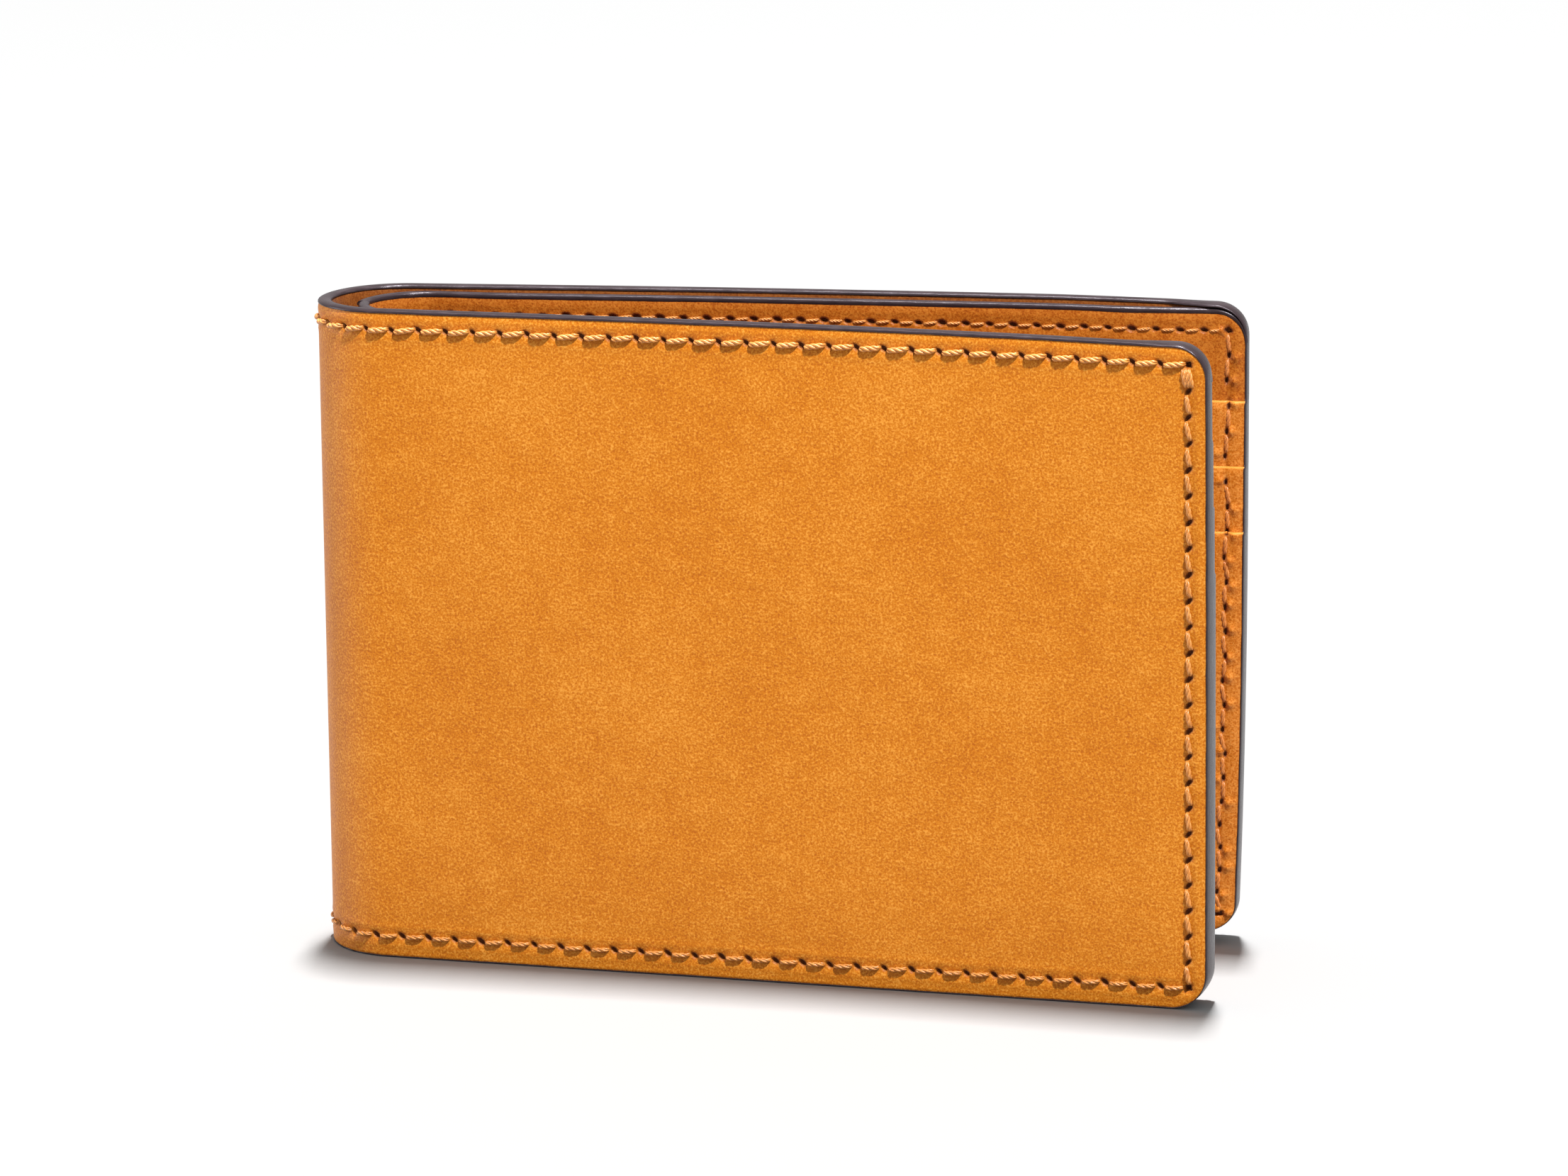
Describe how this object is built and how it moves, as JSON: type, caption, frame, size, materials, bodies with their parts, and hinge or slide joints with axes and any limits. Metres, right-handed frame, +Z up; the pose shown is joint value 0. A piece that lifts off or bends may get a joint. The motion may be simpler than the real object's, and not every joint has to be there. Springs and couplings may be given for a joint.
{
  "type": "bifold wallet",
  "caption": "Small leather bifold wallet standing slightly open, with a bill compartment, stepped card pockets, painted edges and stitched seams.",
  "frame": {"origin": "middle of the wallet's footprint, on the surface it stands on", "axes": "+X from the spine to the free edges, -Y towards the front half's outer face, +Z up along the wallet's height"},
  "size_m": [0.1124, 0.0314, 0.08],
  "materials": {
    "shell_leather": "satin amber tan, full grain",
    "inner_leather": "satin reddish tan, smooth",
    "lining": "matte tan",
    "thread": "waxed, twisted",
    "edge_paint": "satin slate edge paint"
  },
  "bodies": {
    "back_half": {"outer_shell_back": "shell_leather", "shell_lining_back": "lining", "divider_lining_back": "lining", "divider_back": "inner_leather", "top_card_pocket_back": "inner_leather", "middle_card_pocket_back": "inner_leather", "bottom_card_pocket_back": "inner_leather", "outer_stitches_back": "thread", "inner_stitches_back": "thread", "divider_stitches_back": "thread", "pocket_stitches_back": "thread"},
    "spine": {"outer_shell_spine": "shell_leather", "shell_lining_spine": "lining", "divider_lining_spine": "lining", "divider_spine": "inner_leather", "outer_stitches_spine": "thread", "divider_stitches_spine": "thread"},
    "front_half": {"outer_shell_front": "shell_leather", "shell_lining_front": "lining", "divider_lining_front": "lining", "divider_front": "inner_leather", "top_card_pocket_front": "inner_leather", "middle_card_pocket_front": "inner_leather", "bottom_card_pocket_front": "inner_leather", "outer_stitches_front": "thread", "inner_stitches_front": "thread", "divider_stitches_front": "thread", "pocket_stitches_front": "thread"}
  },
  "joints": [
    {"name": "back_fold", "type": "hinge", "parent": "back_half", "child": "spine", "pos_m": [-0.05268, 0.01261, 0.04], "axis": [0, 0, -1], "range_deg": [-5, 86.9]},
    {"name": "front_fold", "type": "hinge", "parent": "spine", "child": "front_half", "pos_m": [-0.05342, -0.00113, 0.04], "axis": [0, 0, -1], "range_deg": [-5, 86.9]}
  ],
  "couplings": [
    {"joint": "front_fold", "follows": "back_fold", "ratio": 1}
  ]
}
